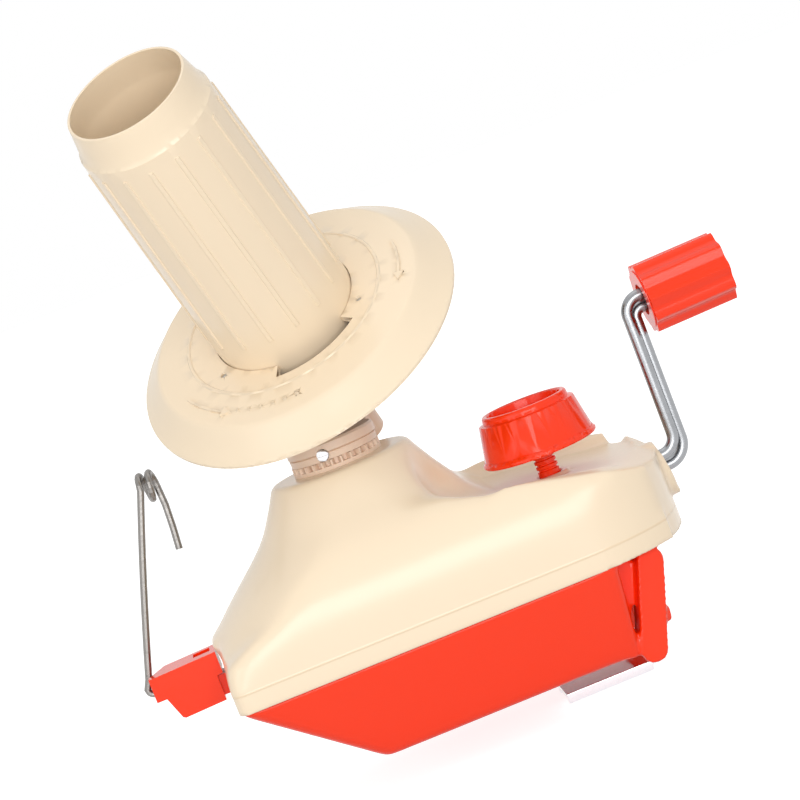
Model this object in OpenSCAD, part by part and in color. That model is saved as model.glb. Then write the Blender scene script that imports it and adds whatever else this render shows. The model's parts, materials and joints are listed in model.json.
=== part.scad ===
// Hand-cranked yarn ball winder that clamps to a table edge.
// X runs from the yarn guide to the crank, Y away from the front, Z up.
// The origin is on the table top, below the axis of the neck.

/* [Housing] */
// Half the width of the housing at its seam
body_half_w = 47.5; // [44:0.5:52]
// Distance from the neck axis to the flat left end of the housing
body_left = 66.6; // [64:0.2:70]
// Distance from the neck axis to the round right end of the housing
body_right = 111.6; // [110:0.2:116]
// Height of the seam between the lower shell and the cover
seam_z = 36; // [35:0.5:37]
// Height of the cover's shoulder at the left end
shoulder_z = 59.6; // [58:0.2:61]
// Wall of the cover and of the lower shell
wall = 2.4; // [1.8:0.1:3]
// Height of the neck's top face
neck_z = 102.6; // [102:0.1:104]
// Radius of the neck at its top
neck_r = 27.8; // [26:0.1:30]
// Half the width of the lower shell where it rests on the table
base_half_w = 35.5; // [34:0.5:40]

/* [Crank] */
// Height of the crank shaft
axle_z = 57.5; // [57:0.1:58.5]
// Radius of the crank shaft
axle_r = 6.2; // [6:0.1:6.6]
// Distance from the crank shaft to the handle's inner end
crank_throw = 59.4; // [55:0.1:70]
// Radius of each wire of the crank arm
crank_wire_r = 2.25; // [2:0.05:2.3]
// Length of the handle
handle_len = 32.6; // [30:0.2:45]
// Largest radius of the handle
handle_r = 13.8; // [12:0.1:16]
// Slope of the handle away from the crank shaft's direction, in degrees
handle_tilt = 1.8; // [0:0.2:5]

/* [Gears] */
// Module of the crown gear and of its pinion
drive_module = 1; // [0.95:0.05:1.05]
// Teeth of the crown gear
crown_teeth = 48; // [48:4:48]
// Teeth of the drive pinion
pinion_teeth = 12; // [12:1:12]
// Module of the ring gear and of the planet gear
ring_module = 1.15; // [1.1:0.05:1.2]
// Teeth of the fixed ring gear
ring_teeth = 28; // [28:1:28]
// Teeth of the planet gear
planet_teeth = 8; // [8:1:8]
// Teeth of the bevel gear under the spool
hub_teeth = 16; // [16:1:16]
// Thickness of the plain disc under the ring gear's teeth
ring_base_h = 1.4; // [1:0.1:1.8]
// Part of a tooth's width that is left free as play
tooth_play = 0.16; // [0.12:0.01:0.22]

/* [Spool] */
// Angle between the spool's axis and the neck's axis, in degrees
lean = 35; // [34:0.5:37]
// Side the spool leans to, in degrees from the front toward the left
lean_side = 22.3; // [0:0.1:60]
// Height at which the spool's axis crosses the neck's axis
cross_z = 166.4; // [165:0.1:168]
// Distance along the spool's axis from the flange's rim up to that crossing
rim_drop = 16.3; // [15:0.1:18]
// Radius of the flange
flange_r = 65; // [60:0.5:68]
// Radius at which the flange starts to slope down to its rim
crease_r = 54.4; // [50:0.2:56]
// Radius of the tube at its foot
tube_foot_r = 28.4; // [27:0.1:29]
// Radius of the tube's ribbed part at its top
tube_top_r = 26.2; // [25:0.1:27]
// Radius of the tube's mouth
mouth_r = 23; // [22:0.1:24]
// Length of the tube above the flange
tube_len = 111.5; // [90:0.5:120]
// Number of ribs round the tube
tube_ribs = 16; // [8:1:24]
// Wall of the flange and of the tube
spool_wall = 2.2; // [1.8:0.1:2.6]
// Turn from locked to free of the tube's bayonet, in degrees
bayonet_turn = 75; // [60:1:80]

/* [Shafts] */
// Radius of the upright rotor shaft
rotor_shaft_r = 3; // [2.6:0.1:3.2]
// Radius of the spindle that the spool turns on
spindle_r = 4; // [3.6:0.1:4.2]
// Radial play of each shaft in its bearing
run_gap = 0.05; // [0.03:0.01:0.08]

/* [Clamp] */
// Place of the clamp screw along the housing
clamp_x = 70.8; // [69:0.1:72]
// Offset of the clamp screw toward the front
clamp_y = 12; // [11.8:0.1:12.4]
// Outer radius of the clamp screw's thread
thread_r = 4.2; // [4:0.05:4.25]
// Pitch of the clamp screw's thread
thread_pitch = 4; // [3:0.5:5]
// Radius of the clamp knob at its foot
knob_r = 22; // [20:0.2:24]
// Height of the clamp knob
knob_h = 18.5; // [16:0.5:20]
// Gap between the jaw and the housing's underside as stored
jaw_gap = 6.1; // [4.5:0.1:8]
// Width of the jaw
jaw_w = 22; // [18:1:22]
// Length of the jaw under the table
jaw_len = 38; // [30:1:42]

/* [Yarn guide] */
// Radius of the guide's wire
wire_r = 1.35; // [1.2:0.05:1.6]
// Height of the pivot of the guide's wire
guide_z = 47.3; // [46.8:0.1:48]
// Height of the guide's eye
eye_z = 119.6; // [112:0.1:124]
// Inner radius of the guide's eye
eye_r = 3.5; // [3:0.1:5]
// Advance of the eye's coil in one turn
eye_pitch = 3.8; // [3.4:0.1:5]

/* [Hidden] */
$fn = 64;
eps = 0.01;

cream = [0.93, 0.85, 0.70];
red = [0.91, 0.13, 0.09];
taupe = [0.52, 0.40, 0.35];
steel = [0.66, 0.68, 0.71];
brass = [0.80, 0.65, 0.35];
nylon = [0.90, 0.90, 0.86];

// Housing
nose_start = 69;
ridge_slope = 1.8;
ridge_pivot_z = 76;
nose_corner_x = body_right - 10;
nose_corner_y = body_half_w - 11.5;
end_r = 66;
trough_z = 71.4;
trough_half_w = body_half_w - 14;
trough_right = body_right - 4;
slope_x = 44;
slope_z = 82.9;
slope_side = 6;
slope_fall = 12.7;
drop_x = 88;
drop_z = slope_z - (drop_x - slope_x) * tan(slope_fall);
drop_fall = 20;
corner_r = 18;
bowl_centre = [48, -22];
bowl_r = 24.2;
bowl_z = trough_z + 1.2;
seat_r = 7.5;
seat_z = trough_z - 0.7;
boss_r = 11;
boss_drop = 2.5;
boss_out = 4;
screw_spots = [[-14, 27], [-14, -27], [52, 27], [52, -29]];
screw_r = 1.5;
screw_post_r = 4;
shell_half_w = body_half_w - 1.9;
shell_right = 78;
shell_foot = [-20.5, 73];

// Crank drive
pinion_r = drive_module * pinion_teeth / 2;
crown_r = drive_module * crown_teeth / 2;
mesh_z = axle_z + crown_r;
crown_face = pinion_r + 1.25 * drive_module;
crown_half_face = 2.2;
shaft_out = body_right + 0.4;
wire_off = crank_wire_r + 0.2;
wire_side = 1.7;
wire_straight_r = crank_wire_r - 0.02;
wire_lap = 0.3;
handle_bush_r = 2 * crank_wire_r + 1.6;
handle_x = body_right + 16.5;
near_leg_x = handle_x - 7.7;
far_leg_x = near_leg_x + 3.3;
near_bend = 6.5;
far_bend = 8;
far_top_bend = 3.4;
handle_z = axle_z + crank_throw;

// Gear train that turns the spool
ring_r = ring_module * ring_teeth / 2;
planet_r = ring_module * planet_teeth / 2;
planet_off = ring_r + planet_r + 0.1;
teeth_z = neck_z + ring_base_h;
ring_top = teeth_z + 2.2;
carrier_z = ring_top + 0.2;
carrier_r = 17.2;
carrier_h = 6.8;
arm_h = 3.9;
arm_half_w = 5.5;
arm_turn = 90 - lean_side;
bevel_apex_z = cross_z - planet_off / tan(lean);
bevel_z = carrier_z + arm_h + 1.8;
bevel_depth = bevel_apex_z - bevel_z;
bevel_angle = atan(sin(lean) / (hub_teeth / planet_teeth + cos(lean)));
bevel_pinion_r = bevel_depth * tan(bevel_angle);
bevel_cone = bevel_depth / cos(bevel_angle);
hub_gear_depth = bevel_cone * cos(lean - bevel_angle);
hub_gear_r = bevel_cone * sin(lean - bevel_angle);
bevel_face = 4.5;
planet_pin_r = 1.5;
planet_shank_r = 2.6;

// Heights along the spool's axis, from the flange's rim
apex_s = rim_drop - planet_off / sin(lean);
hub_gear_s = apex_s - hub_gear_depth;
plateau = 10.6;
ridge_r = 39.9;
mark_r = 48;
plate_s = 0.5;
plate_h = 2.5;
plate_top = plateau - spool_wall - 0.42;
hub_screw_r = 1.2;
hub_screw_off = tube_foot_r + 4.6;
hub_screw_turns = [75, 160, 315];
plate_r = hub_screw_off + 5;
hub_r = 7;
hub_top = plateau + 14;
clip_s = hub_top + 0.1;
clip_h = 0.9;
boss_s = hub_gear_s - 0.8;
boss_len = 14;
spindle_boss_r = 7;
lug_r = hub_screw_off - hub_screw_r - 1.1;
lug_h = 2.2;
slot_r = tube_foot_r + 6.4;
slot_angle = 60;
tube_s = plateau;
band_len = 11;
washer_h = 0.6;

// Clamp
clamp = [clamp_x, -clamp_y];
knob_z = trough_z + 9;
jaw_t = 1.8;
jaw_lip = 2;
leg_x = 83.9;
arm_z = 41.3;
arm_w = 10;
nut_r = 7;
nut_h = 6;
nut_low_z = wall + 2.4;
screw_boss_r = 9;
screw_boss_z = trough_z - 8;
foot_z = wall + 0.05;
knob_pin_r = 1.4;
knob_flats = 20;
flat_depth = 0.5;

// Yarn guide
block_left = -94.6;
block_right = -body_left - 1.6;
block_half_w = 8.5;
guide_x = -96.9;
eye_x = -71.8;
slot_half_w = 5.5;
slide_gap = 0.15;
tongue_len = 36;
slot_z = [seam_z + 2, seam_z + 10];

// The half angle of an involute tooth at radius r, in degrees
function involute(a) = tan(a) * 180 / PI - a;
function half_tooth(n, r, base, play) =
    90 / n * (1 - play) + involute(20) - involute(acos(min(1, base / max(r, base))));
function tooth(n, m, play, add, ded) =
    let (pitch = m * n / 2, base = pitch * cos(20), low = pitch - ded * m, high = pitch + add * m)
    let (radii = [low, max(low, base), pitch, (pitch + high) / 2, high])
    concat([for (r = radii) [r, -half_tooth(n, r, base, play)]],
           [for (i = [4:-1:0]) [radii[i], half_tooth(n, radii[i], base, play)]]);
function gear_points(n, m, play, add, ded) =
    [for (i = [0:n - 1]) for (p = tooth(n, m, play, add, ded))
        p[0] * [cos(360 / n * i + p[1]), sin(360 / n * i + p[1])]];

module gear_2d(n, m, play = tooth_play, add = 0.9, ded = 1.25) {
    polygon(gear_points(n, m, play, add, ded));
}

// A bevel gear with its large end at z = 0 and its cone's apex at z = depth
module bevel_gear(n, r, depth, face) {
    linear_extrude(height = face, scale = (depth - face) / depth)
        gear_2d(n, 2 * r / n, tooth_play, 0.8, 1.15);
}

module spool_frame() {
    translate([0, 0, cross_z]) rotate([0, lean, 270 - lean_side]) translate([0, 0, -rim_drop]) children();
}

// The arm's own frame: X points from the neck's axis to the arm's end
module arm_frame() {
    rotate(arm_turn) children();
}

module tube_along_x(r, x0, x1) {
    translate([x0, 0, 0]) rotate([0, 90, 0]) cylinder(r = r, h = x1 - x0);
}

// Points of an arc round c with radius r, from angle a0 to a1 in n steps
function arc(c, r, a0, a1, n) = [for (i = [0:n]) let (a = a0 + (a1 - a0) * i / n) c + r * [cos(a), sin(a)]];

// Front half of the housing's plan, drawn in by d, from the left end to the right end
function half_plan(d) =
    let (w = body_half_w - d, nose = [nose_corner_x - d, nose_corner_y - d * 0.7])
    let (run = nose[0] - nose_start, drop = w - nose[1], bend_r = (run * run + drop * drop) / (2 * drop))
    let (end_c = body_right - d - end_r)
    concat(
        arc([-body_left + d + 5, -w + 5], 5, 180, 270, 6),
        arc([nose_start, -w + bend_r], bend_r, 270, 270 + asin(run / bend_r), 10),
        [for (i = [0:8]) let (y = -(nose[1] - 2) * (1 - i / 8)) [end_c + sqrt(end_r * end_r - y * y), y]]
    );

module plan(d) {
    front = half_plan(d);
    polygon(concat(front, [for (i = [len(front) - 1:-1:0]) [front[i][0], -front[i][1]]]));
}

// Profile of the neck and its flare, drawn in by d
module neck_profile(d) {
    polygon([
        [0, seam_z], [90 - d, seam_z], [80 - d, 47 - d], [65.6 - d, shoulder_z - d],
        [63 - d, 62.4 - d], [56 - d, 68.8 - d], [49.4 - d, 74.4 - d], [44 - d, 79 - d],
        [39 - d, 83.7 - d / 2], [35.6 - d, 87.8], [33 - d, 92], [neck_r + 2.4 - d, neck_z - 6],
        [neck_r + 0.2 - d, neck_z - 2.6], [neck_r - 0.6 - d, neck_z - 1 - d],
        [neck_r - 2 - d, neck_z - d], [0, neck_z - d]
    ]);
}

// Side view of the housing's upper edge, drawn in by d
module ridge_side(d) {
    polygon([
        [-body_left - 2, 20], [-body_left - 2, shoulder_z - 8 - d], [-51, shoulder_z + 0.4 - d],
        [-26, 65.8 - d], [-1, 73.4 - d], [12, 78.2 - d], [21, 82 - d], [28, 82 - d], [33, 80.2 - d],
        [41, 78.4 - d], [51, 76.8 - d],
        [68, 73.4 - d], [86, 70.5 - d], [99, 69 - d], [body_right - 2.5 - d / 2, 68.8 - d],
        [body_right + 1, 66.8 - d], [body_right + 1, 20]
    ]);
}

// The cover's cross-section, upright to the shoulder and leaning in above it, drawn in by d
module side_slope(d) {
    length = body_left + body_right + 10;
    rotate([90, 0, 90]) translate([0, 0, -body_left - 5]) linear_extrude(length) polygon([
        [-body_half_w - 1, seam_z - 1], [-body_half_w - 1, 58], [d - body_half_w, 60], [d - 47, 62.4],
        [d - 45.6, 66.4], [d - 44, 70.8], [d - 42.4, 75], [d - 40.4, 79], [d - 37.4, 83.4], [d - 34.4, 87.6],
        [d - 32, 91.6], [d - 30.2, 96], [-neck_r - 1, neck_z], [neck_r + 1, neck_z], [31.5 - d, 98],
        [34.2 - d, 93], [37 - d, 88], [39.2 - d, 83.6], [41.2 - d, 79.4], [43.2 - d, 75.6], [45.2 - d, 71.6],
        [46.8 - d, 67.6], [body_half_w - d, 64], [body_half_w + 1, 62], [body_half_w + 1, seam_z - 1]
    ]);
}

// What the slope toward the crank takes off the cover's top, lowered by d
module end_slope(d) {
    for (s = [[slope_x, slope_z, slope_fall], [drop_x, drop_z, drop_fall]])
        translate([s[0], 0, s[1] - d]) rotate([slope_side, s[2], 0])
            translate([0, -body_half_w - 20, 0]) cube([90, 2 * body_half_w + 40, 30]);
}

// Solid of the cover without its dish, drawn in by d
module cover_solid(d) {
    difference() {
        intersection() {
            translate([0, 0, seam_z]) linear_extrude(neck_z - seam_z + 1) plan(d);
            side_slope(d);
            union() {
                rotate_extrude($fn = 96) neck_profile(d);
                translate([0, -body_half_w, ridge_pivot_z]) rotate([ridge_slope, 0, 0])
                    translate([0, 2 * body_half_w + 4, -ridge_pivot_z]) rotate([90, 0, 0])
                        linear_extrude(2 * body_half_w + 8) ridge_side(d);
            }
        }
        end_slope(d);
    }
}

// The round left end of the dish beside the neck, grown by d
module bowl(d) {
    translate([bowl_centre[0], bowl_centre[1], bowl_z - d]) rotate_extrude() polygon([
        [0, 0], [6, 0.2], [13 + d / 2, 1.8], [18 + d, 4.4], [bowl_r + d - 2.7, 8.4],
        [bowl_r + d - 0.6, 13.4], [bowl_r + d, 19], [bowl_r + d, 40], [0, 40]
    ]);
}

// Outline of the dish, open toward the neck, with round corners at its right end
module trough_plan(right, side) {
    translate([0, -2 * side]) square([right - corner_r, 4 * side]);
    translate([0, -side]) square([right, 2 * side]);
    for (s = [-1, 1]) translate([right - corner_r, s * side]) circle(r = corner_r);
}

// The shallow dish round the clamp screw, with a flat seat left in it
module trough() {
    w = trough_half_w;
    z = trough_z;
    difference() {
        intersection() {
            translate([0, body_half_w, 0]) rotate([90, 0, 0]) linear_extrude(2 * body_half_w) polygon([
                [34, 100], [36.5, 87], [42, 77.5], [50, z + 0.6], [60, z], [80, z - 2.6], [94, z - 4.4],
                [trough_right - 1.5, z - 5.2], [trough_right + 1, 80], [120, 100]
            ]);
            rotate([90, 0, 90]) linear_extrude(body_right + 5) polygon([
                [-w, 60], [w, 60], [w, z - 2.5], [w + 2, z + 0.5], [w + 7.5, 77], [w + 11, 82], [w + 30, 100],
                [-w - 30, 100], [-w - 11, 82], [-w - 7.5, 77], [-w - 2, z + 0.5], [-w, z - 2.5]
            ]);
            linear_extrude(neck_z + 10) trough_plan(trough_right + 1, w - 12);
        }
        at_clamp(0) cylinder(r = seat_r, h = seat_z);
    }
}

module at_clamp(z) {
    translate([clamp[0], clamp[1], z]) children();
}

// The housing round the crank shaft's outer bearing
module shaft_boss(extra) {
    translate([0, 0, axle_z - boss_drop]) tube_along_x(boss_r, body_right - 22, body_right + extra);
}

module cover() {
    color(cream) difference() {
        union() {
            difference() {
                cover_solid(0);
                translate([0, 0, -0.02]) cover_solid(wall);
            }
            intersection() {
                cover_solid(0);
                union() {
                    translate([0, 0, -wall]) trough();
                    bowl(wall);
                    for (p = screw_spots) translate([p[0], p[1], seam_z])
                        cylinder(r = screw_post_r, h = neck_z - seam_z);
                    at_clamp(screw_boss_z) cylinder(r = screw_boss_r, h = 20);
                    shaft_boss(0);
                    translate([0, 0, neck_z - 9]) cylinder(r = 9, h = 10);
                }
            }
            translate([-body_left - 1.4, 11, shoulder_z - 2.3]) rotate([90, 0, 0]) cylinder(r = 1.8, h = 22);
            difference() {
                shaft_boss(boss_out);
                translate([body_right + boss_out, 0, axle_z - boss_drop - boss_r]) rotate([0, -9, 0])
                    translate([0, -20, -5]) cube([20, 40, 40]);
            }
        }
        trough();
        difference() {
            bowl(0);
            at_clamp(0) cylinder(r = seat_r, h = seat_z);
        }
        translate([0, 0, neck_z - 12]) cylinder(r = 6, h = 14);
        translate([0, 0, axle_z]) tube_along_x(axle_r + 1.2, body_right - 24, body_right + 8);
        at_clamp(trough_z - 10) cylinder(r = thread_r + 0.4, h = 14);
        for (p = screw_spots) translate([p[0], p[1], seam_z - 1]) cylinder(r = screw_r, h = 12);
        translate([-body_left - 2, -slot_half_w, slot_z[0]])
            cube([6, 2 * slot_half_w, slot_z[1] - slot_z[0]]);
    }
}

// Outline of the lower shell, drawn in by d
module shell_solid(d) {
    hull() for (s = [-1, 1]) {
        for (x = [-body_left + 4 + d, shell_right - 3 - d])
            translate([x, s * (shell_half_w - 3 - d), seam_z - 1]) cylinder(r = 3, h = 1, $fn = 32);
        for (x = [shell_foot[0] + d, shell_foot[1] - d])
            translate([x, s * (base_half_w - 3 - d), d]) cylinder(r = 3, h = 1, $fn = 32);
    }
}

// One of the two slanted fingers that stop against the table's edge
module finger() {
    rotate([90, 0, 0]) translate([0, 0, -6]) {
        hull() {
            translate([80.9, 0.2, 0]) cylinder(r = 5, h = 12, $fn = 32);
            translate([90.9, seam_z - 5, 0]) cylinder(r = 5, h = 12, $fn = 32);
        }
        translate([0, 0, 2]) linear_extrude(8)
            polygon([[84, 14.8], [90.6, 14.2], [91.6, 12], [91, 7.4], [84, 7.4]]);
    }
}

module lower_shell() {
    color(red) difference() {
        union() {
            difference() {
                shell_solid(0);
                translate([0, 0, 1]) shell_solid(wall);
            }
            translate([0, 0, seam_z - 0.6]) linear_extrude(2.6) intersection() {
                plan(wall + 0.3);
                translate([shell_right - 4, -body_half_w]) square([60, 2 * body_half_w]);
            }
            for (s = [-1, 1]) translate([0, 30 * s, 0]) {
                finger();
                translate([shell_right - 3, 1, 0]) rotate([90, 0, 0]) linear_extrude(2)
                    polygon([[0, 8], [0, seam_z], [10, seam_z], [8, seam_z - 12]]);
            }
            for (p = screw_spots) translate([p[0], p[1], wall - 1])
                cylinder(r = screw_post_r, h = seam_z - wall + 1);
            translate([0, 0, wall - 1]) cylinder(r = 7, h = 9);
            at_clamp(wall - 1) cylinder(r = 6, h = nut_low_z - wall + 1);
            translate([22, -7, wall - 1]) cube([9, 14, axle_z - wall]);
            translate([0, 0, axle_z]) tube_along_x(axle_r + 4.2, 22, 31);
        }
        for (p = screw_spots) translate([p[0], p[1], -1]) {
            cylinder(r = screw_r, h = seam_z + 4);
            cylinder(r = 3.1, h = 5);
        }
        translate([0, 0, wall]) cylinder(r = 4.6, h = 9);
        at_clamp(wall) cylinder(r = 3.6, h = 4);
        translate([0, 0, axle_z]) tube_along_x(axle_r + 2, 20, 34);
        translate([shell_right - 5, clamp[1] - nut_r - 0.5, nut_low_z]) cube([14, 2 * nut_r + 1, seam_z]);
        translate([leg_x - 3, clamp[1] - jaw_w / 2 - 1, -1]) cube([5, jaw_w + 2, seam_z + 6]);
    }
}

module cover_screws() {
    color(steel) for (p = screw_spots) translate([p[0], p[1], 1.4]) {
        difference() {
            cylinder(r = 2.9, h = 2.6);
            translate([-2.2, -0.4, -1]) cube([4.4, 0.8, 1.8]);
            translate([-0.4, -2.2, -1]) cube([0.8, 4.4, 1.8]);
        }
        cylinder(r = screw_r, h = seam_z + 8);
    }
}

// A plain flanged bearing bush on the Z axis
module bush(bore, outer, length, rim, rim_h) {
    difference() {
        union() {
            cylinder(r = outer, h = length);
            cylinder(r = rim, h = rim_h);
        }
        translate([0, 0, -1]) cylinder(r = bore, h = length + 2);
    }
}

module neck_bush() {
    color(nylon) translate([0, 0, neck_z - 10.6])
        bush(rotor_shaft_r + run_gap, 6, 10.6, 8.4, 1.6);
}

module foot_bush() {
    color(nylon) translate([0, 0, wall]) difference() {
        cylinder(r = 4.6, h = 8);
        translate([0, 0, 1.6]) cylinder(r = rotor_shaft_r + run_gap, h = 8);
    }
}

module inner_bush() {
    color(nylon) translate([21.4, 0, axle_z]) rotate([0, 90, 0])
        bush(axle_r + run_gap, axle_r + 2, 9.6, axle_r + 3.6, 0.6);
}

module outer_bush() {
    color(nylon) translate([body_right - 1.5, 0, axle_z]) rotate([0, -90, 0])
        bush(axle_r + run_gap, axle_r + 1.2, 17, axle_r + 1.2, 0.6);
}

module ring_gear() {
    color(taupe) translate([0, 0, neck_z]) difference() {
        union() {
            cylinder(r = ring_r + 1, h = ring_base_h);
            rotate(arm_turn) linear_extrude(ring_top - neck_z) gear_2d(ring_teeth, ring_module);
        }
        translate([0, 0, -1]) cylinder(r = 9, h = 6);
    }
}

module screw_clip() {
    color(steel) at_clamp(screw_boss_z - 1.5) difference() {
        cylinder(r = thread_r + 2.4, h = 1.2);
        translate([0, 0, -1]) cylinder(r = thread_r - 0.9, h = 4);
        translate([0, -1.5, -1]) cube([10, 3, 4]);
    }
}

module crank_shaft() {
    color(nylon) translate([0, 0, axle_z]) difference() {
        tube_along_x(axle_r, crown_face + 0.4, shaft_out);
        for (s = [-1, 1]) translate([0, -s * wire_side, s * wire_off])
            tube_along_x(crank_wire_r, shaft_out - 24, shaft_out + 1);
        translate([crown_face + 7, 0, -axle_r - 1]) cylinder(r = 1.25, h = 2 * axle_r + 2);
    }
}

module crown_gear() {
    tooth_half = 0.56 * drive_module;
    tooth_up = 0.95 * drive_module;
    tooth_down = crown_face - pinion_r;
    slope = tan(20);
    color(nylon) translate([0, 0, axle_z]) difference() {
        union() {
            tube_along_x(crown_r + crown_half_face, crown_face - eps, crown_face + 3);
            tube_along_x(axle_r + 3.5, crown_face + 2, crown_face + 12);
            for (i = [0:crown_teeth - 1]) rotate([360 / crown_teeth * (i + 0.5), 0, 0])
                translate([pinion_r, 0, crown_r - crown_half_face])
                    linear_extrude(2 * crown_half_face - 0.3) polygon([
                        [-tooth_up, -tooth_half + tooth_up * slope],
                        [-tooth_up, tooth_half - tooth_up * slope],
                        [tooth_down, tooth_half + tooth_down * slope],
                        [tooth_down, -tooth_half - tooth_down * slope]
                    ]);
            for (a = [0:60:300]) rotate([a, 0, 0])
                translate([crown_face + 3 - eps, -1, axle_r]) cube([2.4, 2, crown_r - axle_r]);
        }
        tube_along_x(axle_r, crown_face - 1, crown_face + 14);
        translate([crown_face + 7, 0, -axle_r - 6]) cylinder(r = 1.25, h = 2 * axle_r + 12);
    }
}

module gear_pin() {
    color(steel) translate([crown_face + 7, 0, axle_z - axle_r - 3]) cylinder(r = 1.25, h = 2 * axle_r + 6);
}

// A bend of the crank's wire, which starts downward from its outer end and turns by the given angle
module wire_bend(bend, angle) {
    rotate([90, 0, 0]) rotate_extrude(angle = angle) translate([bend, 0]) circle(crank_wire_r);
}

// The handle's frame: X runs along the handle from its inner end
module handle_frame() {
    translate([handle_x, 0, handle_z]) rotate([0, -handle_tilt, 0]) children();
}

// One leg of the crank arm: out of the shaft, up at x, and into the handle; side is 1 or -1
module crank_leg(x, side, bend, top_bend) {
    low = axle_z + side * wire_off;
    off = side * wire_off - top_bend;
    u = (x + top_bend - handle_x + off * sin(handle_tilt)) / cos(handle_tilt);
    top_x = x + top_bend;
    top_z = handle_z + u * sin(handle_tilt) + off * cos(handle_tilt);
    translate([0, 0, low]) tube_along_x(wire_straight_r, shaft_out - 24, x - bend + wire_lap);
    translate([x - bend, 0, low + bend]) rotate([0, 90, 0]) wire_bend(bend, 90);
    translate([x, 0, low + bend - wire_lap])
        cylinder(r = wire_straight_r, h = top_z - low - bend + 2 * wire_lap);
    translate([top_x, 0, top_z]) rotate([0, -handle_tilt - 90, 0]) wire_bend(top_bend, 90 - handle_tilt);
    handle_frame() translate([0, 0, side * wire_off])
        tube_along_x(wire_straight_r, u - wire_lap, handle_len - 8);
}

module crank_arm() {
    color(steel) {
        translate([0, -wire_side, 0]) crank_leg(near_leg_x, 1, near_bend, near_bend);
        translate([0, wire_side, 0]) crank_leg(far_leg_x, -1, far_bend, far_top_bend);
    }
}

module handle_bush() {
    color(nylon) handle_frame() difference() {
        tube_along_x(handle_bush_r, 1.5, handle_len - 6);
        for (s = [-1, 1]) translate([0, -s * wire_side, s * wire_off])
            tube_along_x(crank_wire_r, 0, handle_len - 4);
    }
}

module lobed(n, r, depth) {
    polygon([for (i = [0:n * 6 - 1]) let (a = 60 / n * i)
        (r - depth * (0.5 + 0.5 * cos(6 * a * n / 6))) * [cos(a), sin(a)]]);
}

module crank_handle() {
    color(red) handle_frame() rotate([0, 90, 0]) difference() {
        union() {
            translate([0, 0, 0.4]) linear_extrude(handle_len - 0.4) lobed(10, handle_r, 1.6);
            cylinder(r = handle_r - 2.4, h = 2);
        }
        translate([0, 0, -1]) cylinder(r = handle_bush_r + run_gap, h = handle_len - 4.2);
        translate([0, 0, handle_len - 3]) cylinder(r = 8, h = 4);
    }
}

module handle_cap() {
    color(red) handle_frame() tube_along_x(8, handle_len - 3, handle_len - 0.4);
}

module rotor_shaft() {
    foot = wall + 1.7;
    color(steel) translate([0, 0, foot]) cylinder(r = rotor_shaft_r, h = carrier_z + carrier_h - foot);
}

module drive_pinion() {
    color(nylon) translate([0, 0, mesh_z - 4.4]) difference() {
        union() {
            linear_extrude(8.4) gear_2d(pinion_teeth, drive_module);
            translate([0, 0, -6]) cylinder(r = pinion_r - 1.3, h = 6 + eps);
        }
        translate([0, 0, -7]) cylinder(r = rotor_shaft_r, h = 20);
    }
}

module rotor_clip() {
    color(steel) translate([0, 0, neck_z - 12]) difference() {
        cylinder(r = rotor_shaft_r + 2.2, h = 1.2);
        translate([0, 0, -1]) cylinder(r = rotor_shaft_r, h = 4);
        translate([0, -1.2, -1]) cube([8, 2.4, 4]);
    }
}

module rotor_carrier() {
    boss_base = boss_s - boss_len;
    color(taupe) difference() {
        union() {
            translate([0, 0, carrier_z]) rotate_extrude() polygon([
                [0, 0], [carrier_r - 0.4, 0], [carrier_r - 0.2, 2.4], [carrier_r - 0.8, 2.7],
                [carrier_r, 3], [carrier_r, carrier_h - 0.8], [carrier_r - 0.8, carrier_h], [0, carrier_h]
            ]);
            translate([0, 0, neck_z + 0.3]) cylinder(r = 7.5, h = carrier_z - neck_z);
            arm_frame() translate([0, -arm_half_w, carrier_z]) cube([planet_off + 7, 2 * arm_half_w, arm_h]);
            hull() {
                arm_frame() translate([planet_off + 5, 0.4 - arm_half_w, carrier_z + 0.3])
                    cube([3, 2 * arm_half_w - 0.8, arm_h - 0.6]);
                spool_frame() translate([0, 0, boss_base + 1])
                    cylinder(r = spindle_boss_r - 1, h = boss_len - 5);
            }
            spool_frame() translate([0, 0, boss_base]) cylinder(r = spindle_boss_r, h = boss_len);
        }
        translate([0, 0, neck_z - 1]) cylinder(r = rotor_shaft_r, h = 12);
        spool_frame() translate([0, 0, boss_base + 2]) cylinder(r = spindle_r, h = boss_len + 4);
        arm_frame() translate([planet_off, 0, carrier_z]) {
            translate([0, 0, -1]) cylinder(r = planet_shank_r + run_gap, h = arm_h + 2);
            translate([0, 0, arm_h]) cylinder(r = bevel_pinion_r + 1.3, h = carrier_h - arm_h + 0.1);
        }
        set_screw_place() {
            translate([0, 0, carrier_r - 2.2]) cylinder(r = 2.3, h = 6);
            translate([0, 0, rotor_shaft_r - 1]) cylinder(r = 1.25, h = carrier_r);
        }
    }
}

// The set screw's axis, from the shaft out toward the front
module set_screw_place() {
    translate([0, 0, carrier_z + 2.2]) rotate([90, 0, -16.5]) children();
}

module set_screw() {
    color(steel) set_screw_place() difference() {
        union() {
            translate([0, 0, rotor_shaft_r]) cylinder(r = 1.25, h = carrier_r - rotor_shaft_r);
            translate([0, 0, carrier_r - 2.2]) cylinder(r = 2.2, h = 2.9);
        }
        translate([-3, -0.35, carrier_r]) cube([6, 0.7, 2]);
    }
}

module spindle() {
    foot_s = boss_s - boss_len + 2;
    color(steel) spool_frame() difference() {
        translate([0, 0, foot_s]) cylinder(r = spindle_r, h = clip_s + 2.6 - foot_s);
        translate([0, 0, clip_s]) difference() {
            cylinder(r = spindle_r + 1, h = clip_h + 0.04);
            translate([0, 0, -1]) cylinder(r = spindle_r - 0.8, h = 3);
        }
    }
}

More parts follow.
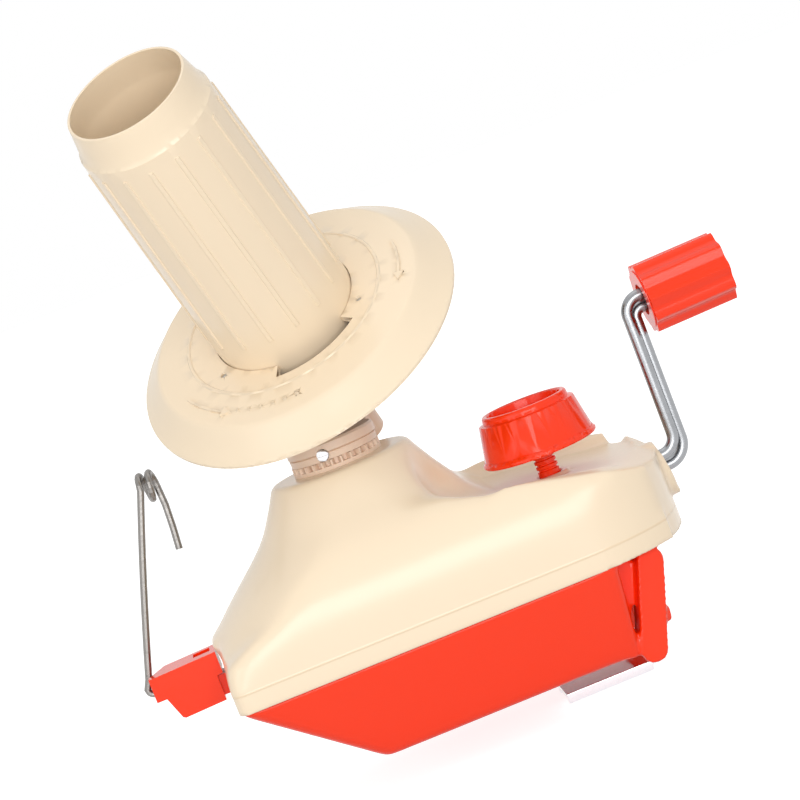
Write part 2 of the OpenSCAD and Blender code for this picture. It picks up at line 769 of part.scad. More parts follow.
module spindle_clip() {
    color(steel) spool_frame() translate([0, 0, clip_s + 0.02]) difference() {
        cylinder(r = spindle_r + 2, h = clip_h);
        translate([0, 0, -1]) cylinder(r = spindle_r - 0.8, h = 3);
        translate([0, -1.5, -1]) cube([8, 3, 3]);
    }
}

module planet_gear() {
    color(nylon) arm_frame() translate([planet_off, 0, 0]) rotate(180 / planet_teeth) difference() {
        union() {
            translate([0, 0, teeth_z + 0.25]) linear_extrude(ring_top - teeth_z - 0.3)
                gear_2d(planet_teeth, ring_module, tooth_play, 0.85, 1.2);
            translate([0, 0, teeth_z + 0.25]) cylinder(r = planet_shank_r, h = bevel_z - teeth_z - 0.3);
        }
        translate([0, 0, neck_z - 1]) cylinder(r = planet_pin_r, h = 20);
    }
}

module bevel_pinion() {
    color(nylon) arm_frame() translate([planet_off, 0, bevel_z]) difference() {
        union() {
            bevel_gear(planet_teeth, bevel_pinion_r, bevel_depth, bevel_face);
            translate([0, 0, -1.5]) cylinder(r = planet_shank_r + 1.1, h = 1.5 + eps);
        }
        translate([0, 0, -2]) cylinder(r = planet_pin_r, h = 10);
        translate([0, 0, -2]) cylinder(r = planet_shank_r, h = 2 - 0.05);
    }
}

module planet_pin() {
    color(steel) arm_frame() translate([planet_off, 0, teeth_z + 0.25])
        cylinder(r = planet_pin_r, h = bevel_z + bevel_face + 0.6 - teeth_z - 0.25);
}

module hub_washer() {
    color(steel) spool_frame() translate([0, 0, boss_s + 0.1]) difference() {
        cylinder(r = spindle_r + 2.6, h = washer_h);
        translate([0, 0, -1]) cylinder(r = spindle_r + run_gap, h = 3);
    }
}

module at_hub_screws(s) {
    for (a = hub_screw_turns) rotate(a) translate([hub_screw_off, 0, s]) children();
}

module spool_hub() {
    color(nylon) spool_frame() difference() {
        union() {
            translate([0, 0, hub_gear_s]) rotate(180) rotate(180 / hub_teeth)
                bevel_gear(hub_teeth, hub_gear_r, hub_gear_depth, bevel_face);
            translate([0, 0, hub_gear_s + bevel_face - eps])
                cylinder(r = hub_r, h = hub_top - hub_gear_s - bevel_face);
            translate([0, 0, plate_s]) cylinder(r = plate_r, h = plate_h);
            translate([0, 0, plate_s]) difference() {
                cylinder(r = plate_r, h = plate_top - plate_s);
                translate([0, 0, -1]) cylinder(r = plate_r - 2, h = 20);
            }
            at_hub_screws(plate_s) cylinder(r = hub_screw_r + 0.9, h = plate_top - plate_s);
            for (a = [0:60:300]) rotate(a + 30) translate([hub_r - 1, -1, plate_s - 8]) rotate([90, 0, 90])
                linear_extrude(14) polygon([[0, 0], [2, 0], [2, 8.5], [0, 8.5]]);
        }
        translate([0, 0, hub_gear_s - 1]) cylinder(r = spindle_r + run_gap, h = hub_top - hub_gear_s + 2);
        at_hub_screws(plate_s - 1) cylinder(r = hub_screw_r, h = 20);
    }
}

module flange_section() {
    t = spool_wall;
    polygon([
        [tube_foot_r + 0.35, plateau], [ridge_r - 0.8, plateau + 0.2], [ridge_r - 0.4, plateau + 0.7],
        [ridge_r + 0.4, plateau + 0.7], [ridge_r + 0.8, plateau + 0.2], [crease_r - 1, plateau - 1],
        [crease_r, plateau - 1.4], [crease_r + 1, plateau - 2.2], [flange_r - 3.2, 2.4],
        [flange_r - 0.8, 0.6], [flange_r, -0.2], [flange_r, -1.2], [flange_r - 0.8, -1.8],
        [flange_r - 3, -1.8], [flange_r - 5, 0], [crease_r - 0.6, plateau - 2.2 - t],
        [crease_r - 2, plateau - 1 - t],
        [tube_foot_r + 0.35, plateau - t]
    ]);
}

// A raised arc on the flange with an arrow head at one end
module arrow(r, turn, dir) {
    z = plateau - 0.6;
    rotate(turn) {
        translate([0, 0, z]) rotate_extrude(angle = dir * 24) translate([r - 0.5, 0]) square([1, 0.8]);
        rotate(dir * 24) translate([r, 0, z]) linear_extrude(0.8)
            polygon([[-2, 0], [2, 0], [0, dir * 4]]);
    }
}

module flange() {
    color(cream) spool_frame() {
        difference() {
            rotate_extrude($fn = 96) flange_section();
            for (a = [0, 180]) rotate(a - 1) translate([0, 0, plateau - 5]) rotate_extrude(angle = slot_angle)
                translate([tube_foot_r - 2, 0]) square([slot_r - tube_foot_r + 2, 10]);
            at_hub_screws(0) cylinder(r = hub_screw_r, h = 20);
        }
        arrow(mark_r, -52, 1);
        arrow(mark_r, 112, -1);
        for (i = [0:5]) rotate(-20 + 6 * i) translate([mark_r - 0.8, 0, plateau - 0.6])
            cylinder(r = 0.5 + 0.1 * i, h = 0.8);
    }
}

module hub_screws() {
    foot = plate_s + plate_h;
    color(steel) spool_frame() at_hub_screws(foot) cylinder(r = hub_screw_r, h = plateau - 0.6 - foot);
}

module tube_section(inside) {
    t = inside ? spool_wall : 0;
    top = tube_s + tube_len;
    step = top - band_len;
    polygon([
        [0, tube_s - 5.5 - (inside ? 1 : 0)], [tube_foot_r - t, tube_s - 5.5 - (inside ? 1 : 0)],
        [tube_foot_r - t, tube_s + 6], [tube_top_r - t, step - 1.5],
        [(inside ? tube_top_r : mouth_r + 2.2) - t, step], [mouth_r - t * 0.45, top],
        [0, top + (inside ? 1 : 0)]
    ]);
}

module spool_tube() {
    color(cream) spool_frame() {
        difference() {
            union() {
                rotate_extrude($fn = 96) tube_section(false);
                for (a = [0, 180]) rotate(a + 4 - bayonet_turn) translate([0, 0, plate_top - 0.1 - lug_h])
                    rotate_extrude(angle = slot_angle - 10) translate([tube_foot_r - 1, 0])
                        square([lug_r - tube_foot_r + 1, lug_h]);
                for (i = [0:tube_ribs - 1]) rotate(6 + 360 / tube_ribs * i) tube_rib();
            }
            rotate_extrude($fn = 96) tube_section(true);
        }
    }
}

// One thin rib along the tube
module tube_rib() {
    s0 = tube_s + 11;
    s1 = tube_s + tube_len - band_len - 6;
    taper = atan((tube_foot_r - tube_top_r) / (tube_len - band_len - 7.5));
    r0 = tube_foot_r - (s0 - tube_s - 6) * tan(taper);
    translate([r0, 0, s0]) rotate([0, -taper, 0]) translate([-0.6, -0.8, 0]) cube([1.15, 1.6, s1 - s0]);
}

module clamp_screw() {
    top = knob_z + 4;
    start = foot_z + 4;
    turns = floor((screw_boss_z - 4 - start) / thread_pitch);
    color(red) at_clamp(0) difference() {
        union() {
            translate([0, 0, foot_z]) cylinder(r = 3.5, h = 5);
            translate([0, 0, start]) cylinder(r = thread_r, h = top - start);
        }
        for (i = [1:turns]) translate([0, 0, start + thread_pitch * i]) thread_groove();
        translate([0, 0, screw_boss_z - 1.55]) difference() {
            cylinder(r = thread_r + 1, h = 1.3);
            translate([0, 0, -1]) cylinder(r = thread_r - 0.9, h = 4);
        }
        for (z = [trough_z + 1.5:thread_pitch / 2:knob_z]) translate([0, 0, z]) thread_groove();
        translate([0, 0, knob_z - 6]) cylinder(r = knob_pin_r, h = 20);
    }
}

module thread_groove() {
    rotate_extrude() polygon([
        [thread_r - 0.7, -0.2], [thread_r + 1, -0.9], [thread_r + 1, 0.9], [thread_r - 0.7, 0.2]
    ]);
}

module clamp_knob() {
    r = knob_r;
    h = knob_h;
    color(red) at_clamp(knob_z) difference() {
        union() {
            rotate_extrude($fn = 96) polygon([
                [r - 2.6, 0], [r - 0.6, 0], [r, 0.6], [r, 1.4], [r - 0.7, 2.2], [r - 3.1, h - 3.8],
                [r - 3.5, h - 3.1], [r - 5.2, h - 2.6], [r - 5.5, h - 0.6], [r - 6, h], [r - 7, h],
                [r - 7.5, h - 0.5], [r - 7.9, h - 4], [0, h - 4.6], [0, h - 7], [r - 6.4, h - 7]
            ]);
            cylinder(r = thread_r + 2.6, h = h - 6);
        }
        translate([0, 0, -1]) cylinder(r = thread_r, h = 5);
        cylinder(r = knob_pin_r, h = h);
        translate([0, 0, h - 5.6]) cylinder(r = 3.6, h = 3);
        for (i = [1:knob_flats]) rotate(360 / knob_flats * i)
            translate([r - 0.7 - flat_depth, -r, 2.4]) rotate([0, -10.9, 0]) cube([r, 2 * r, h]);
    }
}

module knob_screw() {
    color(steel) at_clamp(knob_z) difference() {
        union() {
            translate([0, 0, knob_h - 5.6]) cylinder(r = 3.4, h = 2);
            translate([0, 0, -5.5]) cylinder(r = knob_pin_r, h = knob_h);
        }
        translate([-2.4, -0.5, knob_h - 4.4]) cube([4.8, 1, 2]);
        translate([-0.5, -2.4, knob_h - 4.4]) cube([1, 4.8, 2]);
    }
}

module clamp_bracket() {
    top = -jaw_gap;
    y0 = clamp[1] - jaw_w / 2;
    tip = leg_x - jaw_len;
    bend = 4;
    color(steel) difference() {
        union() {
            translate([tip, y0, top - jaw_t]) cube([jaw_len - bend, jaw_w, jaw_t]);
            for (s = [0, 1]) translate([tip, y0 + s * (jaw_w - jaw_t), top - jaw_t - jaw_lip])
                cube([jaw_len - bend, jaw_t, jaw_lip + eps]);
            translate([leg_x - bend, y0 + jaw_w, top + bend - jaw_t]) rotate([90, 90, 0])
                rotate_extrude(angle = 90) translate([bend - jaw_t, 0]) square([jaw_t, jaw_w]);
            translate([leg_x - jaw_t, y0, top + bend - jaw_t]) cube([jaw_t, jaw_w, 22]);
            translate([leg_x - jaw_t, clamp[1] - arm_w / 2, top + bend])
                cube([jaw_t, arm_w, arm_z + 2 - top - bend]);
            translate([clamp[0] - 8, clamp[1] - arm_w / 2, arm_z])
                cube([leg_x - clamp[0] + 8, arm_w, 2]);
        }
        translate([clamp[0], clamp[1], arm_z - 1]) cylinder(r = thread_r + 0.3, h = 4);
    }
}

module bracket_nut() {
    color(steel) translate([clamp[0], clamp[1], arm_z - nut_h]) difference() {
        cylinder(r = nut_r, h = nut_h, $fn = 6);
        translate([0, 0, -1]) cylinder(r = thread_r + 0.06, h = nut_h + 2);
    }
}

module guide_block() {
    color(red) difference() {
        union() {
            translate([0, block_half_w, 0]) rotate([90, 0, 0]) linear_extrude(2 * block_half_w) polygon([
                [block_left, 45.2], [block_left, 54.2], [block_right, 55.1], [block_right, 46.8],
                [block_right - 2.4, 46.4], [block_right - 2.4, 36.8], [block_right - 18.6, 36.2],
                [block_right - 19.6, 36.8], [block_right - 22.6, 45.2]
            ]);
            translate([block_right - 5, slide_gap - slot_half_w, slot_z[0] + slide_gap])
                cube([tongue_len + 5, 2 * (slot_half_w - slide_gap), slot_z[1] - slot_z[0] - 2 * slide_gap]);
        }
        translate([block_right - 8.6, -2, 51]) cube([6.6, 7, 6]);
        translate([block_left, -4, 30]) rotate(-26) translate([-20, 0, 0]) cube([20, 30, 30]);
        translate([0, 0, guide_z]) tube_along_x(wire_r + run_gap, block_left - 1, block_left + 18);
    }
}

// Route of the guide's wire: up from its pivot, once and a half round the eye, and down to its end
function guide_route() =
    let (bend = 2.6, loop_r = eye_r + wire_r)
    let (up = [eye_x - guide_x, eye_z - guide_z])
    concat(
        [[guide_x + bend + 1, 0, guide_z], [guide_x + bend, 0, guide_z]],
        [for (a = [250:-20:190]) [guide_x + bend + bend * cos(a), 0, guide_z + bend + bend * sin(a)]],
        [for (t = [0.08:0.12:0.92]) [guide_x + up[0] * t - 2 * t * (1 - t), 0, guide_z + up[1] * t]],
        [for (a = [0:20:540]) [eye_x + eye_pitch * a / 360, loop_r * (1 - cos(a)), eye_z + loop_r * sin(a)]],
        [for (end = [[6.1, 9], [5.6, 18], [4.8, 26.4]]) [eye_x + end[0], 2 * loop_r, eye_z - end[1]]]
    );

function unit(v) = v / norm(v);
module swept_tube(route, r, sides) {
    n = len(route);
    dirs = [for (i = [0:n - 1]) unit(route[min(i + 1, n - 1)] - route[max(i - 1, 0)])];
    rings = [for (i = [0:n - 1]) let (u = unit(cross(dirs[i], [1, 0.3, 0.3])), v = cross(dirs[i], u))
        [for (k = [0:sides - 1]) route[i] + r * (u * cos(360 / sides * k) + v * sin(360 / sides * k))]];
    polyhedron(
        points = [for (ring = rings) for (p = ring) p],
        faces = concat(
            [[for (k = [0:sides - 1]) k]],
            [for (i = [0:n - 2]) for (k = [0:sides - 1]) let (a = i * sides, b = (k + 1) % sides)
                [a + b, a + k, a + sides + k, a + sides + b]],
            [[for (k = [sides - 1:-1:0]) (n - 1) * sides + k]]
        )
    );
}

module guide_wire() {
    color(steel) {
        translate([0, 0, guide_z]) tube_along_x(wire_r + 0.02, guide_x + 3.3, block_left + 17);
        swept_tube(guide_route(), wire_r, 10);
    }
}

cover();
lower_shell();
cover_screws();
neck_bush();
foot_bush();
inner_bush();
outer_bush();
ring_gear();
screw_clip();
crank_shaft();
crown_gear();
gear_pin();
crank_arm();
handle_bush();
crank_handle();
handle_cap();
rotor_shaft();
drive_pinion();
rotor_clip();
rotor_carrier();
set_screw();
spindle();
spindle_clip();
planet_gear();
bevel_pinion();
planet_pin();
hub_washer();
spool_hub();
flange();
hub_screws();
spool_tube();
clamp_screw();
clamp_knob();
knob_screw();
clamp_bracket();
bracket_nut();
guide_block();
guide_wire();
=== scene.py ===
"""Yarn ball winder: materials, softened mouldings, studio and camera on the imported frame."""
import json
import math

import bpy
import numpy as np
from mathutils import Matrix, Vector


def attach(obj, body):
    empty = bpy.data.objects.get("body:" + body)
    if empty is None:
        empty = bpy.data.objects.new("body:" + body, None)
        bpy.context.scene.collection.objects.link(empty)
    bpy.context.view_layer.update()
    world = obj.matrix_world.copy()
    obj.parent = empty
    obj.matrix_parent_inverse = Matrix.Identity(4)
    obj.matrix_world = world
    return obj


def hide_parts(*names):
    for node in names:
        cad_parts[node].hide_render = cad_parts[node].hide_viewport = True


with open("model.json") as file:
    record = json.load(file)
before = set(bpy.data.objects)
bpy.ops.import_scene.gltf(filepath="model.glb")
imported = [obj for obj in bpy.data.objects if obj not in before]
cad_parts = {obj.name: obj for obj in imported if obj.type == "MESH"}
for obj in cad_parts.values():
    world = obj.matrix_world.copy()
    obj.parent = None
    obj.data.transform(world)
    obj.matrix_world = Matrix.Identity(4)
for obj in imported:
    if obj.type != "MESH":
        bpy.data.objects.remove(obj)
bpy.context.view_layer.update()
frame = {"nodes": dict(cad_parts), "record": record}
nodes = frame["nodes"]
MM = 0.001

# The crank's axis, the clamp screw's axis and about the middle of the guide's slot, in millimetres
AXLE_Z = 57.5
CLAMP_X, CLAMP_Y = 70.8, -12.0
SLOT_Z = 43.0

# Height, half width and depth of the line where the cover's mould halves met, in metres; its band is also
# painted darker as painted shade of the groove
PARTING_Z = 0.0432
PARTING_HALF = 0.0007
PARTING_DEPTH = 0.00012

# Noise scales per metre, and depths in metres
GRAIN_SCALE, GRAIN_DEPTH = 500.0, 0.0000015
STREAK_SCALE, STREAK_DEPTH = (30.0, 30.0, 900.0), 0.000012

# Size in millimetres of the cells that a softened moulding is built from
VOXEL = 0.8


# Materials

def new_material(name):
    """A material with an empty tree but for its shader and output."""
    material = bpy.data.materials.new(name)
    material.use_nodes = True
    tree = material.node_tree
    tree.nodes.clear()
    shader = tree.nodes.new("ShaderNodeBsdfPrincipled")
    output = tree.nodes.new("ShaderNodeOutputMaterial")
    tree.links.new(shader.outputs["BSDF"], output.inputs["Surface"])
    return material, tree, shader


def add(tree, kind, **values):
    """A node of that kind, with its properties or its input sockets set."""
    node = tree.nodes.new(kind)
    for key, value in values.items():
        socket = key.replace("_", " ")
        if socket in node.inputs:
            node.inputs[socket].default_value = value
        else:
            setattr(node, key, value)
    return node


def noise(tree, vector, scale, detail=3.0, rough=0.5):
    """A noise texture's factor at that scale, per metre."""
    node = add(tree, "ShaderNodeTexNoise", Scale=scale, Detail=detail, Roughness=rough)
    tree.links.new(vector, node.inputs["Vector"])
    return node.outputs["Fac"]


def span(tree, value, low, high):
    """Maps 0.3..0.7 of a noise, which is most of its range, to low..high."""
    node = add(tree, "ShaderNodeMapRange", clamp=True)
    node.inputs["From Min"].default_value = 0.3
    node.inputs["From Max"].default_value = 0.7
    node.inputs["To Min"].default_value = low
    node.inputs["To Max"].default_value = high
    tree.links.new(value, node.inputs["Value"])
    return node.outputs["Result"]


def mixed(tree, factor, first, second):
    """A colour between two, each a colour or a socket, by the factor of a socket."""
    node = add(tree, "ShaderNodeMix", data_type="RGBA")
    for socket, value in (("Factor", factor), ("A", first), ("B", second)):
        place = [i for i in node.inputs if i.name == socket and i.enabled][0]
        if isinstance(value, tuple):
            place.default_value = (*value, 1.0)
        else:
            tree.links.new(value, place)
    return [o for o in node.outputs if o.enabled][0]


def bump(tree, height, distance, under=None):
    """A bump of that distance in metres, on top of another one if given."""
    node = add(tree, "ShaderNodeBump", Strength=1.0, Distance=distance)
    tree.links.new(height, node.inputs["Height"])
    if under is not None:
        tree.links.new(under, node.inputs["Normal"])
    return node.outputs["Normal"]


def band(tree, place, level, half):
    """1 at that object height and 0 from half above or below it."""
    height = add(tree, "ShaderNodeSeparateXYZ")
    tree.links.new(place, height.inputs["Vector"])
    away = add(tree, "ShaderNodeMath", operation="SUBTRACT")
    tree.links.new(height.outputs["Z"], away.inputs[0])
    away.inputs[1].default_value = level
    size = add(tree, "ShaderNodeMath", operation="ABSOLUTE")
    tree.links.new(away.outputs["Value"], size.inputs[0])
    node = add(tree, "ShaderNodeMapRange", interpolation_type="SMOOTHSTEP")
    node.inputs["From Min"].default_value = half
    node.inputs["From Max"].default_value = 0.0
    tree.links.new(size.outputs["Value"], node.inputs["Value"])
    return node.outputs["Result"]


def plastic(name, colour, rough, sss=0.0, ior=1.5, parting_shade=None):
    """Moulded plastic with a very fine grain, and a parting line dented by a bump and painted in the darker
    colour given for it, as painted shade of its groove.
    """
    material, tree, shader = new_material(name)
    place = add(tree, "ShaderNodeTexCoord").outputs["Object"]
    fine = noise(tree, place, GRAIN_SCALE, 1.0, 0.4)
    normal = bump(tree, fine, GRAIN_DEPTH)
    shader.inputs["Base Color"].default_value = (*colour, 1.0)
    if parting_shade is not None:
        # The parting line's band is painted darker as painted shade in its groove, besides its bump
        line = band(tree, place, PARTING_Z, PARTING_HALF)
        tree.links.new(mixed(tree, line, colour, parting_shade), shader.inputs["Base Color"])
        normal = bump(tree, line, PARTING_DEPTH, normal)
    tree.links.new(span(tree, fine, rough * 0.96, rough * 1.04), shader.inputs["Roughness"])
    tree.links.new(normal, shader.inputs["Normal"])
    shader.inputs["IOR"].default_value = ior
    shader.inputs["Subsurface Weight"].default_value = sss
    shader.inputs["Subsurface Radius"].default_value = (1.0, 0.6, 0.35)
    shader.inputs["Subsurface Scale"].default_value = 0.002
    return material


def metal(name, colour, rough, dark=0.8):
    """Plated or drawn metal: level streaks of roughness, darker clouds and small dark specks."""
    material, tree, shader = new_material(name)
    place = add(tree, "ShaderNodeTexCoord").outputs["Object"]
    stretch = add(tree, "ShaderNodeMapping")
    stretch.inputs["Scale"].default_value = STREAK_SCALE
    tree.links.new(place, stretch.inputs["Vector"])
    lines = noise(tree, stretch.outputs["Vector"], 1.0, 4.0, 0.6)
    cloud = noise(tree, place, 160.0, 3.0, 0.6)
    speck = noise(tree, place, 1500.0, 3.0, 0.7)
    base = mixed(tree, span(tree, cloud, 0.0, 0.35), colour, tuple(c * dark for c in colour))
    base = mixed(tree, span(tree, speck, 0.0, 0.25), base, tuple(c * dark * 0.85 for c in colour))
    tree.links.new(base, shader.inputs["Base Color"])
    tree.links.new(span(tree, lines, rough * 0.7, rough * 1.6), shader.inputs["Roughness"])
    tree.links.new(bump(tree, lines, STREAK_DEPTH), shader.inputs["Normal"])
    shader.inputs["Metallic"].default_value = 1.0
    return material


def milky(name, colour):
    """Cloudy nylon that lets light through."""
    material, tree, shader = new_material(name)
    place = add(tree, "ShaderNodeTexCoord").outputs["Object"]
    cloud = noise(tree, place, 180.0, 4.0, 0.6)
    fine = noise(tree, place, 1800.0, 2.0, 0.5)
    base = mixed(tree, span(tree, cloud, 0.0, 0.5), colour, tuple(c * 0.86 for c in colour))
    tree.links.new(base, shader.inputs["Base Color"])
    tree.links.new(span(tree, cloud, 0.25, 0.42), shader.inputs["Roughness"])
    tree.links.new(bump(tree, fine, 0.00003), shader.inputs["Normal"])
    shader.inputs["Transmission Weight"].default_value = 0.55
    shader.inputs["IOR"].default_value = 1.35
    shader.inputs["Subsurface Weight"].default_value = 0.3
    shader.inputs["Subsurface Scale"].default_value = 0.003
    return material


CREAM = (0.90, 0.745, 0.545)
# A darker cream, painted into the cover's parting line as painted shade of its groove
CREAM_GROOVE_SHADE = (0.85, 0.67, 0.46)
# A roughness that crosses 0.27 from grain to grain comes out of the denoiser in patches
CREAM_ROUGH = 0.245

finish = {
    "cream_plastic": plastic("cream moulding", CREAM, CREAM_ROUGH),
    "red_plastic": plastic("red moulding", (0.97, 0.040, 0.004), 0.16, ior=1.38),
    "taupe_plastic": plastic("taupe moulding", (0.80, 0.61, 0.47), 0.38, sss=0.05),
    "brown_plastic": plastic("brown gear moulding", (0.10, 0.045, 0.028), 0.36),
    "nylon": milky("cloudy nylon", (0.92, 0.90, 0.86)),
    "chrome": metal("bright plating", (0.80, 0.82, 0.85), 0.10, dark=0.88),
    "steel": metal("turned steel", (0.62, 0.62, 0.63), 0.26),
    "grey_wire": metal("grey wire", (0.30, 0.285, 0.27), 0.34, dark=0.7),
}
cover_plastic = plastic("cream cover moulding", CREAM, CREAM_ROUGH, parting_shade=CREAM_GROOVE_SHADE)
zinc = metal("zinc wire", (0.36, 0.37, 0.385), 0.24, dark=0.72)


# Carried-over CAD nodes

def soften(obj, width):
    """Rounds the edges of a CAD node by modifiers, without a change to its mesh."""
    weld = obj.modifiers.new("weld", "WELD")
    weld.merge_threshold = 0.002 * MM
    bevel = obj.modifiers.new("rounding", "BEVEL")
    bevel.width = width * MM
    bevel.segments = 2
    bevel.limit_method = "ANGLE"
    bevel.angle_limit = math.radians(32.0)
    bevel.use_clamp_overlap = True
    bevel.harden_normals = True
    normals = obj.modifiers.new("normals", "WEIGHTED_NORMAL")
    normals.keep_sharp = True


slot_of = {s["node"]: s["material_slot"] for s in frame["record"]["subparts"]}
# Width of the rounding in millimetres; the other nodes keep their edges
rounding = {
    "flange": 0.35, "spool_tube": 0.3, "clamp_knob": 0.35, "crank_handle": 0.4, "guide_block": 0.6,
    "rotor_carrier": 0.4, "ring_gear": 0.12, "clamp_bracket": 0.3, "crank_shaft": 0.4, "handle_cap": 0.4,
    "bevel_pinion": 0.1, "spool_hub": 0.12, "set_screw": 0.2, "knob_screw": 0.2, "hub_screws": 0.2,
}
own_finish = {"crank_arm": zinc}
for name, obj in nodes.items():
    obj.data.materials.clear()
    obj.data.materials.append(own_finish.get(name, finish[slot_of[name]]))
    obj.data.shade_smooth()
    if name in rounding:
        soften(obj, rounding[name])


# Smooth mouldings that stand for a CAD node

def remeshed(name, node):
    """A closed even mesh of a CAD node, as a new object."""
    source = nodes[node]
    copy = bpy.data.objects.new(name + "_source", source.data.copy())
    bpy.context.scene.collection.objects.link(copy)
    remesh = copy.modifiers.new("remesh", "REMESH")
    remesh.mode = "VOXEL"
    remesh.voxel_size = VOXEL * MM
    remesh.adaptivity = 0.0
    graph = bpy.context.evaluated_depsgraph_get()
    mesh = bpy.data.meshes.new_from_object(copy.evaluated_get(graph))
    bpy.data.objects.remove(copy)
    mesh.name = name
    obj = bpy.data.objects.new(name, mesh)
    bpy.context.scene.collection.objects.link(obj)
    return obj


def relax(obj, rounds, weight):
    """Evens the mesh: each round moves a point toward its neighbours' middle by half its weight, 0 to 1."""
    mesh = obj.data
    count = len(mesh.vertices)
    place = np.empty(count * 3)
    mesh.vertices.foreach_get("co", place)
    place = place.reshape(-1, 3)
    ends = np.empty(len(mesh.edges) * 2, dtype=np.int64)
    mesh.edges.foreach_get("vertices", ends)
    first, second = ends[0::2], ends[1::2]
    links = np.bincount(ends, minlength=count).astype(float)
    amount = (weight(place) * 0.5)[:, None]
    for _ in range(rounds):
        total = np.empty_like(place)
        for axis in range(3):
            total[:, axis] = np.bincount(first, place[second, axis], count)
            total[:, axis] += np.bincount(second, place[first, axis], count)
        place += (total / links[:, None] - place) * amount
    mesh.vertices.foreach_set("co", place.ravel())
    mesh.update()
    mesh.shade_smooth()


def ease(value, low, high):
    """0 below low, 1 above high and a smooth step between."""
    t = np.clip((value - low) / (high - low), 0.0, 1.0)
    return t * t * (3.0 - 2.0 * t)


def cover_weight(place):
    """Full on the flare and the shoulder and none at the seam and the bores.

    It is little in the dish, at the right end and at the top of the neck.
    """
    x, y, z = place.T / MM
    amount = ease(z, 44.5, 50.0) * (1.0 - 0.92 * ease(z, 97.0, 99.5))
    dish = ease(x, 40.0, 52.0) * ease(z, 60.0, 64.0) * (1.0 - ease(np.abs(y), 43.5, 46.5))
    amount *= (1.0 - 0.8 * dish) * (1.0 - 0.8 * ease(x, 101.0, 106.0))
    # Distance from the axis of the crank, of the clamp screw and of the guide, and the radius kept round it;
    # beyond the wall that a bore is in, the distance is made too large to count
    far = 100.0
    for distance, radius in (
        (np.hypot(y, z - AXLE_Z) + far * (x < 84.0), 9.5),
        (np.hypot(x - CLAMP_X, y - CLAMP_Y), 7.0),
        (np.hypot(y / 1.2, z - SLOT_Z) + far * (x > -60.0), 7.0),
    ):
        amount *= ease(distance, radius, radius + 3.0)
    return amount


def shell_weight(place):
    """Full on the lower part up to the clamp; none at the seam, the fingers and the two upright bores."""
    x, y, z = place.T / MM
    bores = ease(np.hypot(x, y), 9.0, 12.0) * ease(np.hypot(x - CLAMP_X, y - CLAMP_Y), 9.0, 12.0)
    return (1.0 - ease(z, 33.0, 38.0)) * (1.0 - ease(x, 66.0, 74.0)) * bores


def skin(name, node, rounds, weight, material):
    """A softened copy of a CAD node that is shown in its place."""
    obj = remeshed(name, node)
    relax(obj, rounds, weight)
    obj.data.materials.clear()
    obj.data.materials.append(material)
    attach(obj, "housing")
    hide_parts(node)


skin("cover_skin", "cover", 110, cover_weight, cover_plastic)
skin("lower_shell_skin", "lower_shell", 50, shell_weight, finish["red_plastic"])


# Floor, light and camera

# Just below the clamp's jaw, and wide enough to reach the horizon, in metres
FLOOR_Z = -0.0135
FLOOR_HALF = 40.0
# What the floor gives off toward the camera, and the world's light on the object; 1 is white
FLOOR_GLOW = 0.80
AMBIENT = 0.66


def area_light(name, place, target, size, power):
    """A square white lamp of that side in metres and power in watts, turned toward a target."""
    data = bpy.data.lights.new(name, "AREA")
    data.shape = "SQUARE"
    data.size = size
    data.energy = power
    lamp = bpy.data.objects.new(name, data)
    lamp.location = place
    lamp.rotation_mode = "QUATERNION"
    lamp.rotation_quaternion = (Vector(target) - Vector(place)).to_track_quat("-Z", "Y")
    bpy.context.scene.collection.objects.link(lamp)


def seen_directly(tree):
    """1 for rays from the camera, a glossy surface or a clear one, 0 for light that falls on things."""
    path = add(tree, "ShaderNodeLightPath")
    either = add(tree, "ShaderNodeMath", operation="MAXIMUM")
    tree.links.new(path.outputs["Is Camera Ray"], either.inputs[0])
    tree.links.new(path.outputs["Is Glossy Ray"], either.inputs[1])
    every = add(tree, "ShaderNodeMath", operation="MAXIMUM")
    tree.links.new(either.outputs["Value"], every.inputs[0])
    tree.links.new(path.outputs["Is Transmission Ray"], every.inputs[1])
    return every.outputs["Value"]


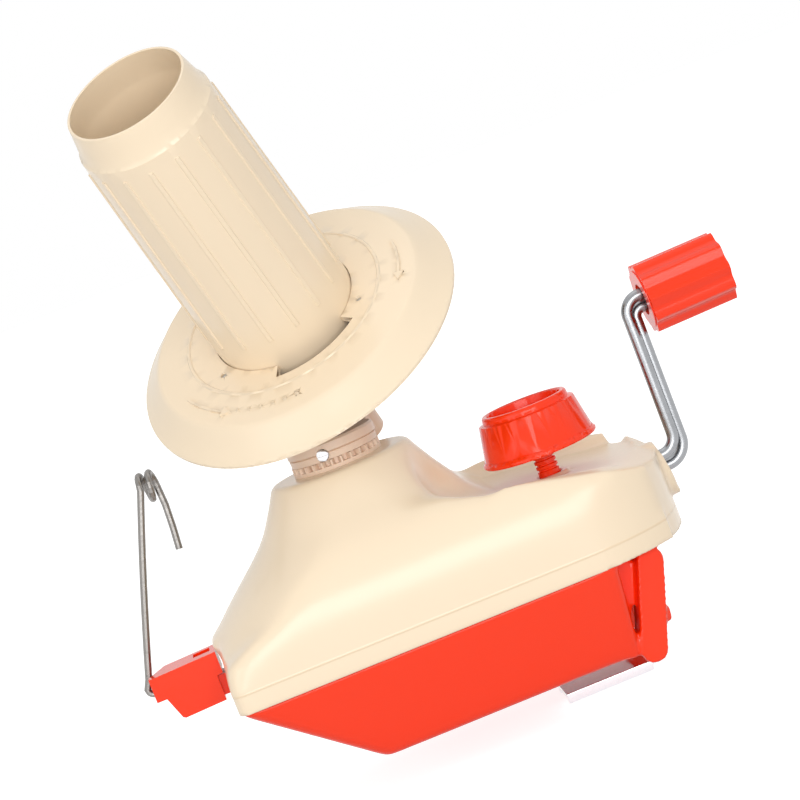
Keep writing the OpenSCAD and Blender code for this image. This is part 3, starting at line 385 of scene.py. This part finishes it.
def pale_floor():
    """A plain floor that looks as white as the studio behind it and lights nothing by its glow."""
    mesh = bpy.data.meshes.new("floor")
    half = FLOOR_HALF
    corners = [(-half, -half), (half, -half), (half, half), (-half, half)]
    mesh.from_pydata([(x, y, FLOOR_Z) for x, y in corners], [], [(0, 1, 2, 3)])
    floor = bpy.data.objects.new("floor", mesh)
    bpy.context.scene.collection.objects.link(floor)
    material, tree, shader = new_material("floor")
    place = add(tree, "ShaderNodeTexCoord").outputs["Object"]
    cloud = span(tree, noise(tree, place, 3.0), 0.0, 1.0)
    base = mixed(tree, cloud, (0.56, 0.56, 0.56), (0.55, 0.55, 0.55))
    tree.links.new(base, shader.inputs["Base Color"])
    shader.inputs["Roughness"].default_value = 0.9
    shader.inputs["Emission Color"].default_value = (1.0, 1.0, 1.0, 1.0)
    glow = add(tree, "ShaderNodeMapRange")
    glow.inputs["To Max"].default_value = FLOOR_GLOW
    tree.links.new(seen_directly(tree), glow.inputs["Value"])
    tree.links.new(glow.outputs["Result"], shader.inputs["Emission Strength"])
    mesh.materials.append(material)


pale_floor()

world = bpy.data.worlds.new("studio")
world.use_nodes = True
backdrop = world.node_tree.nodes["Background"]
backdrop.inputs["Color"].default_value = (1.0, 1.0, 1.0, 1.0)
strength = add(world.node_tree, "ShaderNodeMapRange")
strength.inputs["To Min"].default_value = AMBIENT
strength.inputs["To Max"].default_value = 1.0
world.node_tree.links.new(seen_directly(world.node_tree), strength.inputs["Value"])
world.node_tree.links.new(strength.outputs["Result"], backdrop.inputs["Strength"])
bpy.context.scene.world = world

area_light("key", (0.05, -1.25, 0.12), (0.0, 0.0, 0.12), 0.9, 10.8)
area_light("fill", (-0.8, -0.85, 0.25), (0.0, 0.0, 0.15), 0.7, 2.0)
area_light("top", (0.1, 0.1, 1.2), (0.0, 0.0, 0.1), 0.8, 1.2)

# The camera's place, directions and focal length, solved from outlines in the photograph
CAMERA_AT = Vector((-22.576, -843.974, 196.308)) * MM
RIGHT = Vector((0.927592, -0.092194, -0.362039))
UP = Vector((0.368482, 0.066014, 0.927288))
FORWARD = Vector((0.061591, 0.99355, -0.095206))
FOCAL_PIXELS = 2285.03
IMAGE_PIXELS = 800.0
SENSOR_WIDTH = 36.0
camera_data = bpy.data.cameras.new("camera")
camera_data.sensor_width = SENSOR_WIDTH
camera_data.lens = FOCAL_PIXELS / IMAGE_PIXELS * SENSOR_WIDTH
camera_data.clip_start = 0.05
camera_data.clip_end = 100.0
camera = bpy.data.objects.new("camera", camera_data)
turn = Matrix((RIGHT, UP, -FORWARD)).transposed().to_4x4()
camera.matrix_world = Matrix.Translation(CAMERA_AT) @ turn
bpy.context.scene.collection.objects.link(camera)
bpy.context.scene.camera = camera
bpy.context.scene.view_settings.view_transform = "Standard"
